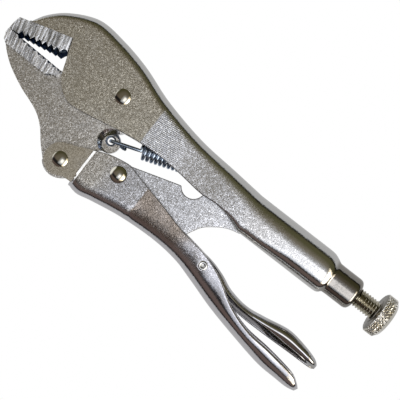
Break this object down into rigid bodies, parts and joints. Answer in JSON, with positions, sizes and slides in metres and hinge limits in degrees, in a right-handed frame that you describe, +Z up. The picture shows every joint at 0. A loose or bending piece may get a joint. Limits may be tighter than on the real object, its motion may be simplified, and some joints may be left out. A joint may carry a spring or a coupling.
{
  "type": "locking pliers",
  "caption": "Straight-jaw locking pliers with a plated channel handle, toggle link, release lever, spring and knurled adjusting screw.",
  "frame": {"origin": "centre of the footprint, on the surface that the tool lies on", "axes": "+X along the adjusting screw towards the knob, +Y from the lever towards the fixed handle's spine, +Z up from the side that it lies on"},
  "size_m": [0.1852, 0.0689, 0.0175],
  "materials": {
    "satin_plate": "satin nickel plate over blasted steel",
    "forged_plate": "satin nickel plate over a forging, ground on the teeth",
    "bright_plate": "smooth bright plate",
    "rivet_steel": "polished rivet heads",
    "screw_steel": "plated, knurled and threaded",
    "spring_steel": "dark blued wire"
  },
  "bodies": {
    "handle": {"fixed_handle": "satin_plate", "fixed_jaw": "forged_plate", "jaw_rivet": "rivet_steel", "jaw_spring": "spring_steel"},
    "jaw": {"moving_jaw": "forged_plate"},
    "lever": {"lever_handle": "satin_plate", "lever_rivet": "rivet_steel", "link_rivet": "rivet_steel", "release_rivet": "bright_plate"},
    "link": {"toggle_link": "forged_plate"},
    "release": {"release_lever": "bright_plate"},
    "screw": {"adjusting_screw": "screw_steel"},
    "knob": {"adjusting_knob": "screw_steel"}
  },
  "joints": [
    {"name": "jaw_open", "type": "hinge", "parent": "handle", "child": "jaw", "pos_m": [-0.04155, 0.0159, 0.00875], "axis": [0, 0, 1], "range_deg": [0, 15], "deforming": ["jaw_spring"]},
    {"name": "lever_swing", "type": "hinge", "parent": "jaw", "child": "lever", "pos_m": [-0.04605, -0.0178, 0.00875], "axis": [0, 0, 1], "range_deg": [-60, 0]},
    {"name": "link_swing", "type": "hinge", "parent": "lever", "child": "link", "pos_m": [-0.02455, -0.0088, 0.00875], "axis": [0, 0, 1], "range_deg": [0, 64]},
    {"name": "release_press", "type": "hinge", "parent": "lever", "child": "release", "pos_m": [0.02245, -0.0166, 0.00875], "axis": [0, 0, 1], "range_deg": [-4, 0]},
    {"name": "screw_travel", "type": "slide", "parent": "handle", "child": "screw", "axis": [1, 0, 0], "range_m": [0, 0.01]},
    {"name": "knob_turn", "type": "hinge", "parent": "screw", "child": "knob", "pos_m": [0.08845, 0.01035, 0.00875], "axis": [1, 0, 0], "range_deg": [0, 2881]}
  ],
  "couplings": [
    {"joint": "jaw_open", "follows": "lever_swing", "ratio": -0.25},
    {"joint": "link_swing", "follows": "lever_swing", "ratio": -1.0666},
    {"joint": "knob_turn", "follows": "screw_travel", "rad_per_m": 5026.5}
  ]
}
